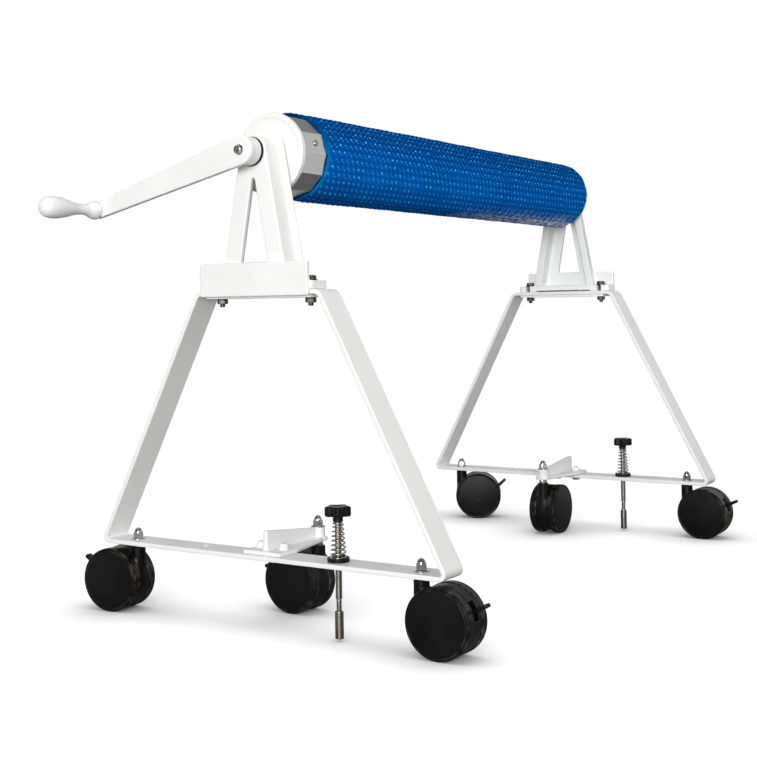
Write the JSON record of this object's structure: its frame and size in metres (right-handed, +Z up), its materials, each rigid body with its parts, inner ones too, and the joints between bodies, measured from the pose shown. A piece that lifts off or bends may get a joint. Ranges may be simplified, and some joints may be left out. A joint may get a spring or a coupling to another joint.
{
  "type": "pool cover reel",
  "caption": "Free-standing pool cover reel: bent-bar stands on braked casters carry a crank-turned tube wound with bubble cover, with sprung deck-lock pins.",
  "frame": {"origin": "on the floor, midway between the two stands, under the reel's axis", "axes": "+X along the reel from the crank end to the far end, +Y to the side the crank arm points to, +Z up"},
  "size_m": [1.2964, 0.7487, 0.7933],
  "materials": {
    "white_coat": "white powder coat on steel bar",
    "white_casting": "white powder coat on cast aluminium",
    "white_plastic": "moulded white plastic",
    "black_nylon": "moulded black nylon",
    "stainless": "stainless steel",
    "mill_aluminium": "mill finish extrusion",
    "bubble_sheet": "translucent blue bubble polyethylene"
  },
  "bodies": {
    "stands": {"near_base_loop": "white_coat", "near_splice_strap": "white_coat", "near_upright": "white_casting", "near_bearing_bush": "black_nylon", "near_outrigger": "white_casting", "near_lock_cup": "black_nylon", "far_base_loop": "white_coat", "far_splice_strap": "white_coat", "far_upright": "white_casting", "far_bearing_bush": "black_nylon", "far_outrigger": "white_casting", "far_lock_cup": "black_nylon", "near_left_caster_stem": "stainless", "near_right_caster_stem": "stainless", "near_outrigger_caster_stem": "stainless", "far_left_caster_stem": "stainless", "far_right_caster_stem": "stainless", "far_outrigger_caster_stem": "stainless"},
    "reel": {"reel_tube": "mill_aluminium", "near_end_plug": "white_plastic", "far_end_plug": "white_plastic", "near_axle": "stainless", "far_axle": "stainless", "crank_arm": "white_casting", "crank_bolt": "stainless", "grip_pin": "stainless", "cover_roll": "bubble_sheet"},
    "grip": {"handle_grip": "white_plastic"},
    "near_left_caster_swivel": {"near_left_caster_housing": "black_nylon"},
    "near_left_caster_wheels": {"near_left_caster_left_wheel": "black_nylon", "near_left_caster_right_wheel": "black_nylon"},
    "near_left_caster_brake": {"near_left_caster_brake_lever": "black_nylon"},
    "near_right_caster_swivel": {"near_right_caster_housing": "black_nylon"},
    "near_right_caster_wheels": {"near_right_caster_left_wheel": "black_nylon", "near_right_caster_right_wheel": "black_nylon"},
    "near_right_caster_brake": {"near_right_caster_brake_lever": "black_nylon"},
    "near_outrigger_caster_swivel": {"near_outrigger_caster_housing": "black_nylon"},
    "near_outrigger_caster_wheels": {"near_outrigger_caster_left_wheel": "black_nylon", "near_outrigger_caster_right_wheel": "black_nylon"},
    "near_outrigger_caster_brake": {"near_outrigger_caster_brake_lever": "black_nylon"},
    "far_left_caster_swivel": {"far_left_caster_housing": "black_nylon"},
    "far_left_caster_wheels": {"far_left_caster_left_wheel": "black_nylon", "far_left_caster_right_wheel": "black_nylon"},
    "far_left_caster_brake": {"far_left_caster_brake_lever": "black_nylon"},
    "far_right_caster_swivel": {"far_right_caster_housing": "black_nylon"},
    "far_right_caster_wheels": {"far_right_caster_left_wheel": "black_nylon", "far_right_caster_right_wheel": "black_nylon"},
    "far_right_caster_brake": {"far_right_caster_brake_lever": "black_nylon"},
    "far_outrigger_caster_swivel": {"far_outrigger_caster_housing": "black_nylon"},
    "far_outrigger_caster_wheels": {"far_outrigger_caster_left_wheel": "black_nylon", "far_outrigger_caster_right_wheel": "black_nylon"},
    "far_outrigger_caster_brake": {"far_outrigger_caster_brake_lever": "black_nylon"},
    "near_pin_carriage": {"near_lock_spring": "stainless"},
    "near_pin": {"near_lock_rod": "stainless", "near_lock_knob": "black_nylon", "near_deck_anchor": "stainless"},
    "far_pin_carriage": {"far_lock_spring": "stainless"},
    "far_pin": {"far_lock_rod": "stainless", "far_lock_knob": "black_nylon", "far_deck_anchor": "stainless"}
  },
  "joints": [
    {"name": "reel_spin", "type": "hinge", "parent": "stands", "child": "reel", "pos_m": [0, 0, 0.7225], "axis": [1, 0, 0], "continuous": true},
    {"name": "grip_spin", "type": "hinge", "parent": "reel", "child": "grip", "pos_m": [-0.64, 0.29581, 0.6482], "axis": [1, 0, 0], "continuous": true},
    {"name": "near_left_caster_swivel_turn", "type": "hinge", "parent": "stands", "child": "near_left_caster_swivel", "pos_m": [-0.528, 0.27, 0.08], "axis": [0, 0, 1], "continuous": true},
    {"name": "near_left_caster_roll", "type": "hinge", "parent": "near_left_caster_swivel", "child": "near_left_caster_wheels", "pos_m": [-0.53329, 0.30763, 0.051], "axis": [-0.9903, -0.1392, 0], "continuous": true},
    {"name": "near_left_caster_brake_press", "type": "hinge", "parent": "near_left_caster_swivel", "child": "near_left_caster_brake", "pos_m": [-0.53886, 0.34724, 0.066], "axis": [-0.9903, -0.1392, 0], "range_deg": [0, 20]},
    {"name": "near_right_caster_swivel_turn", "type": "hinge", "parent": "stands", "child": "near_right_caster_swivel", "pos_m": [-0.528, -0.27, 0.08], "axis": [0, 0, 1], "continuous": true},
    {"name": "near_right_caster_roll", "type": "hinge", "parent": "near_right_caster_swivel", "child": "near_right_caster_wheels", "pos_m": [-0.527, -0.30799, 0.051], "axis": [0.9997, 0.0262, 0], "continuous": true},
    {"name": "near_right_caster_brake_press", "type": "hinge", "parent": "near_right_caster_swivel", "child": "near_right_caster_brake", "pos_m": [-0.52596, -0.34797, 0.066], "axis": [0.9997, 0.0262, 0], "range_deg": [0, 20]},
    {"name": "near_outrigger_caster_swivel_turn", "type": "hinge", "parent": "stands", "child": "near_outrigger_caster_swivel", "pos_m": [-0.403, 0, 0.08], "axis": [0, 0, 1], "continuous": true},
    {"name": "near_outrigger_caster_roll", "type": "hinge", "parent": "near_outrigger_caster_swivel", "child": "near_outrigger_caster_wheels", "pos_m": [-0.40167, 0.03798, 0.051], "axis": [-0.9994, 0.0349, 0], "continuous": true},
    {"name": "near_outrigger_caster_brake_press", "type": "hinge", "parent": "near_outrigger_caster_swivel", "child": "near_outrigger_caster_brake", "pos_m": [-0.40028, 0.07795, 0.066], "axis": [-0.9994, 0.0349, 0], "range_deg": [0, 20]},
    {"name": "far_left_caster_swivel_turn", "type": "hinge", "parent": "stands", "child": "far_left_caster_swivel", "pos_m": [0.528, 0.27, 0.08], "axis": [0, 0, 1], "continuous": true},
    {"name": "far_left_caster_roll", "type": "hinge", "parent": "far_left_caster_swivel", "child": "far_left_caster_wheels", "pos_m": [0.54584, 0.23645, 0.051], "axis": [0.8829, 0.4695, 0], "continuous": true},
    {"name": "far_left_caster_brake_press", "type": "hinge", "parent": "far_left_caster_swivel", "child": "far_left_caster_brake", "pos_m": [0.56462, 0.20113, 0.066], "axis": [0.8829, 0.4695, 0], "range_deg": [0, 20]},
    {"name": "far_right_caster_swivel_turn", "type": "hinge", "parent": "stands", "child": "far_right_caster_swivel", "pos_m": [0.528, -0.27, 0.08], "axis": [0, 0, 1], "continuous": true},
    {"name": "far_right_caster_roll", "type": "hinge", "parent": "far_right_caster_swivel", "child": "far_right_caster_wheels", "pos_m": [0.52933, -0.30798, 0.051], "axis": [0.9994, 0.0349, 0], "continuous": true},
    {"name": "far_right_caster_brake_press", "type": "hinge", "parent": "far_right_caster_swivel", "child": "far_right_caster_brake", "pos_m": [0.53072, -0.34795, 0.066], "axis": [0.9994, 0.0349, 0], "range_deg": [0, 20]},
    {"name": "far_outrigger_caster_swivel_turn", "type": "hinge", "parent": "stands", "child": "far_outrigger_caster_swivel", "pos_m": [0.403, 0, 0.08], "axis": [0, 0, 1], "continuous": true},
    {"name": "far_outrigger_caster_roll", "type": "hinge", "parent": "far_outrigger_caster_swivel", "child": "far_outrigger_caster_wheels", "pos_m": [0.44098, 0.00133, 0.051], "axis": [-0.0349, 0.9994, 0], "continuous": true},
    {"name": "far_outrigger_caster_brake_press", "type": "hinge", "parent": "far_outrigger_caster_swivel", "child": "far_outrigger_caster_brake", "pos_m": [0.48095, 0.00272, 0.066], "axis": [-0.0349, 0.9994, 0], "range_deg": [0, 20]},
    {"name": "near_pin_press", "type": "slide", "parent": "stands", "child": "near_pin_carriage", "axis": [0, 0, -1], "range_m": [0, 0.028], "stiffness_N_per_m": 400, "springref_m": -0.012, "deforming": ["near_lock_spring"]},
    {"name": "near_pin_turn", "type": "hinge", "parent": "near_pin_carriage", "child": "near_pin", "pos_m": [-0.528, -0.128, 0.12], "axis": [0, 0, 1], "continuous": true},
    {"name": "far_pin_press", "type": "slide", "parent": "stands", "child": "far_pin_carriage", "axis": [0, 0, -1], "range_m": [0, 0.028], "stiffness_N_per_m": 400, "springref_m": -0.012, "deforming": ["far_lock_spring"]},
    {"name": "far_pin_turn", "type": "hinge", "parent": "far_pin_carriage", "child": "far_pin", "pos_m": [0.528, -0.128, 0.12], "axis": [0, 0, 1], "continuous": true}
  ]
}
